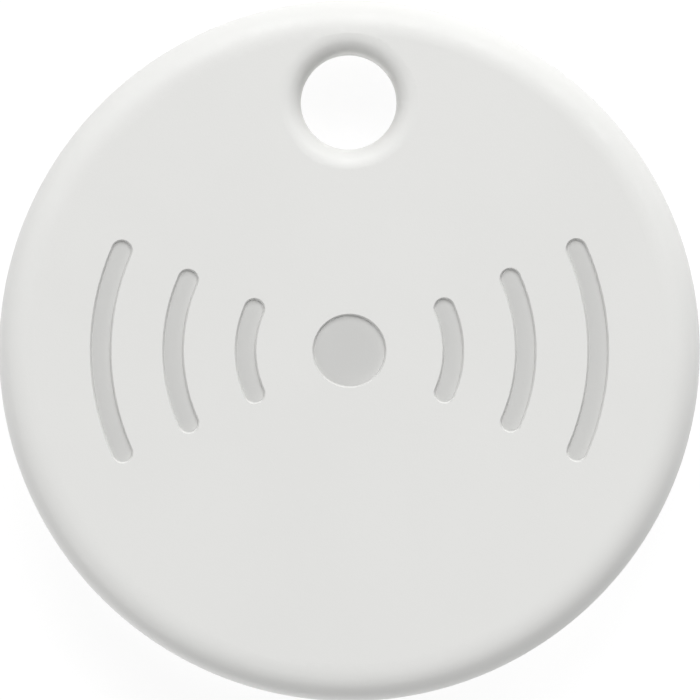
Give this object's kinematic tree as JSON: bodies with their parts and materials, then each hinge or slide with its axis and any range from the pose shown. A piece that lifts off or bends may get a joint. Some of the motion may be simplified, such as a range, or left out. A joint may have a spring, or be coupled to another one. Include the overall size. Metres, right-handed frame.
{
  "type": "bluetooth tracker tag",
  "caption": "Round off-white key-ring tracker tag with a hole near the rim and a sunk radio wave sign; snap-together shells hold a coin cell, circuit board, sounder and press switch.",
  "frame": {"origin": "centre of the flat back face, with the tag lying on its back", "axes": "+Z out of the front face, which carries the sunk sign; +Y from the centre to the key hole; +X to the right as the front is seen with the key hole up"},
  "size_m": [0.038, 0.038, 0.0064],
  "materials": {
    "shell_plastic": "fine matte moulded texture, off-white",
    "tray_plastic": "matte black moulded",
    "silicone": "soft translucent grey silicone",
    "board_laminate": "satin green solder mask over glass laminate",
    "insulating_film": "clear amber film",
    "spring_metal": "nickel-plated spring bronze, satin",
    "cell_steel": "nickel-plated steel, finely brushed",
    "cell_cap_steel": "nickel-plated steel, satin",
    "cell_gasket": "black moulded gasket",
    "lithium": "dull grey soft metal",
    "separator_paper": "white non-woven",
    "cathode_mix": "dull black pressed powder",
    "glue": "clear cured adhesive",
    "piezo_brass": "rolled brass, satin",
    "piezo_ceramic": "matte fired ceramic",
    "silver_film": "fired silver film, satin",
    "gold_plated_wire": "gold-plated wire",
    "package_epoxy": "black moulded epoxy",
    "tinned_metal": "bright tin",
    "ferrite": "matte grey ferrite",
    "enamelled_copper": "enamelled copper wire",
    "crystal_base": "fired dark ceramic",
    "crystal_lid_metal": "rolled nickel alloy",
    "gold_pad": "gold flash over copper",
    "capacitor_ceramic": "fired tan ceramic",
    "resistor_body": "black coated ceramic",
    "switch_plastic": "black moulded",
    "switch_steel": "silver-plated steel",
    "plunger_plastic": "white moulded"
  },
  "bodies": {
    "back_half": {"back_cover": "shell_plastic", "circuit_board": "board_laminate", "battery_tray": "tray_plastic", "insulator_ring": "insulating_film", "negative_contact": "spring_metal", "positive_contact": "spring_metal", "sounder_spring_silver": "gold_plated_wire", "sounder_spring_plate": "gold_plated_wire", "sounder_driver": "package_epoxy", "sounder_driver_legs": "tinned_metal", "inductor_core": "ferrite", "inductor_winding": "enamelled_copper", "inductor_feet": "tinned_metal", "radio_chip": "package_epoxy", "radio_chip_lands": "tinned_metal", "radio_crystal_base": "crystal_base", "radio_crystal_lid": "crystal_lid_metal", "clock_crystal_base": "crystal_base", "clock_crystal_lid": "crystal_lid_metal", "antenna_trace": "gold_pad", "test_pads": "gold_pad", "capacitors": "capacitor_ceramic", "capacitor_ends": "tinned_metal", "resistors": "resistor_body", "resistor_ends": "tinned_metal", "switch_base": "switch_plastic", "switch_lid": "switch_steel", "switch_dome": "switch_steel", "switch_terminals": "tinned_metal"},
    "seals": {"perimeter_seal": "silicone", "key_hole_seal": "silicone"},
    "front_half": {"front_cover": "shell_plastic", "piezo_glue_ring": "glue", "piezo_plate": "piezo_brass", "piezo_ceramic": "piezo_ceramic", "piezo_silver_film": "silver_film"},
    "coin_cell": {"battery_can": "cell_steel", "battery_gasket": "cell_gasket", "battery_cap": "cell_cap_steel", "battery_lithium_disc": "lithium", "battery_separator": "separator_paper", "battery_cathode_pellet": "cathode_mix"},
    "switch_plunger_body": {"switch_plunger": "plunger_plastic"}
  },
  "joints": [
    {"name": "case_opening", "type": "slide", "parent": "back_half", "child": "seals", "axis": [0, 0, 1], "range_m": [0, 0.02]},
    {"name": "front_press", "type": "slide", "parent": "seals", "child": "front_half", "axis": [0, 0, -1], "range_m": [0, 0.00025], "stiffness_N_per_m": 6000, "springref_m": -0.00008, "deforming": ["perimeter_seal", "key_hole_seal", "sounder_spring_silver", "sounder_spring_plate"]},
    {"name": "battery_removal", "type": "slide", "parent": "back_half", "child": "coin_cell", "axis": [0, 0, 1], "range_m": [0, 0.01]},
    {"name": "switch_click", "type": "slide", "parent": "back_half", "child": "switch_plunger_body", "axis": [0, 0, -1], "range_m": [0, 0.00025], "deforming": ["switch_dome"]}
  ],
  "couplings": [
    {"joint": "battery_removal", "follows": "case_opening", "ratio": 0.5},
    {"joint": "switch_click", "follows": "front_press", "ratio": 1}
  ]
}
